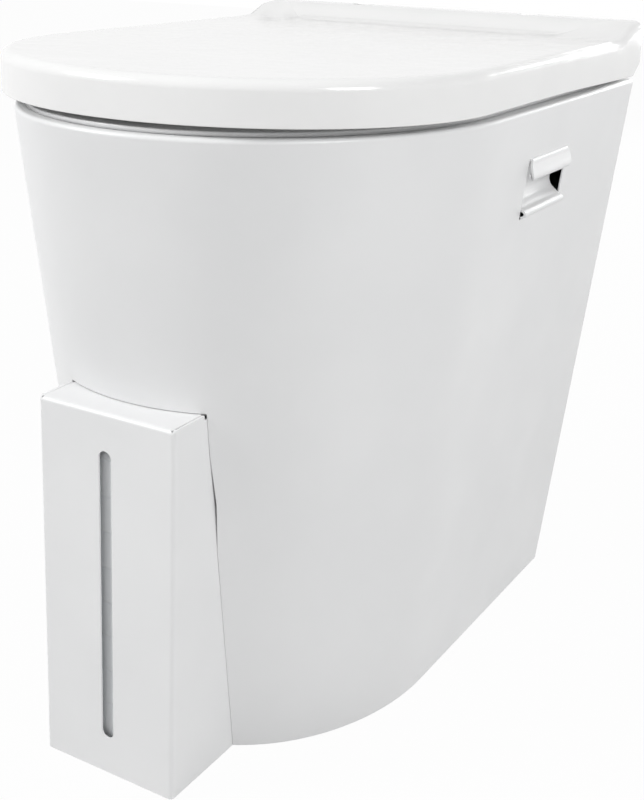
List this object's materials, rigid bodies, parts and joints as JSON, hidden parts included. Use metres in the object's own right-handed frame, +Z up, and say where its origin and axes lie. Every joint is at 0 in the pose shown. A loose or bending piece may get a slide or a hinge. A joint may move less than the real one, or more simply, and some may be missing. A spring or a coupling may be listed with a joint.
{
  "type": "urine-diverting toilet",
  "caption": "Free-standing dry toilet: tapered sheet-steel housing with front box and sight slot, lift grips, diverter bowl, bucket, canister, hinged seat and lid.",
  "frame": {"origin": "centre of the bounding box on the floor", "axes": "+Z up, the front box and the seat's nose towards -Y, +X to the right seen from the front"},
  "size_m": [0.3368, 0.4776, 0.477],
  "materials": {
    "powder_coat": "satin",
    "lid_plastic": "gloss",
    "insert_plastic": "semi-gloss",
    "bucket_plastic": "matte",
    "canister_plastic": "translucent satin",
    "cap_plastic": "satin",
    "rubber": "matte",
    "stainless_steel": "bright",
    "hinge_plastic": "satin"
  },
  "bodies": {
    "base": {"base_plate": "powder_coat", "foot_pad_1": "rubber", "foot_pad_2": "rubber", "foot_pad_3": "rubber", "foot_pad_4": "rubber", "foot_pad_5": "rubber", "foot_pad_6": "rubber", "solids_bucket": "bucket_plastic", "bucket_locator": "insert_plastic", "urine_canister": "canister_plastic", "canister_stop": "stainless_steel"},
    "inlet_cap": {"canister_cap": "cap_plastic"},
    "housing": {"body_shell": "powder_coat", "back_panel": "powder_coat", "urine_box": "powder_coat", "grip_left": "powder_coat", "grip_right": "powder_coat", "diverter_insert": "insert_plastic", "insert_screw_1": "stainless_steel", "insert_screw_2": "stainless_steel", "insert_screw_3": "stainless_steel", "insert_screw_4": "stainless_steel", "insert_screw_5": "stainless_steel", "insert_screw_6": "stainless_steel", "drain_spout": "insert_plastic", "drain_nut": "insert_plastic", "basin_strainer": "stainless_steel", "bracket_bolt_1": "stainless_steel", "bracket_bolt_2": "stainless_steel", "bracket_washer_1": "stainless_steel", "bracket_washer_2": "stainless_steel", "bracket_wing_nut_1": "stainless_steel", "bracket_wing_nut_2": "stainless_steel", "hinge_bracket_left": "hinge_plastic", "hinge_bracket_right": "hinge_plastic", "hinge_pin_left": "stainless_steel", "hinge_pin_right": "stainless_steel"},
    "seat": {"seat_ring": "lid_plastic", "seat_arm_left": "hinge_plastic", "seat_arm_right": "hinge_plastic", "seat_bumper_1": "rubber", "seat_bumper_2": "rubber", "seat_bumper_3": "rubber", "seat_bumper_4": "rubber", "seat_arm_screw_1": "stainless_steel", "seat_arm_screw_2": "stainless_steel"},
    "lid": {"lid": "lid_plastic", "lid_arm_left": "hinge_plastic", "lid_arm_right": "hinge_plastic", "lid_bumper_1": "rubber", "lid_bumper_2": "rubber", "lid_bumper_3": "rubber", "lid_bumper_4": "rubber", "lid_arm_screw_1": "stainless_steel", "lid_arm_screw_2": "stainless_steel"}
  },
  "joints": [
    {"name": "housing_lift", "type": "slide", "parent": "base", "child": "housing", "axis": [0, 0, 1], "range_m": [0, 0.3]},
    {"name": "seat_hinge", "type": "hinge", "parent": "housing", "child": "seat", "pos_m": [0, 0.21479, 0.463], "axis": [-1, 0, 0], "range_deg": [0, 95]},
    {"name": "lid_hinge", "type": "hinge", "parent": "seat", "child": "lid", "pos_m": [0, 0.21479, 0.463], "axis": [-1, 0, 0], "range_deg": [0, 100]},
    {"name": "cap_turn", "type": "hinge", "parent": "base", "child": "inlet_cap", "pos_m": [0, -0.10811, 0.2516], "axis": [0, 0, 1], "continuous": true}
  ]
}
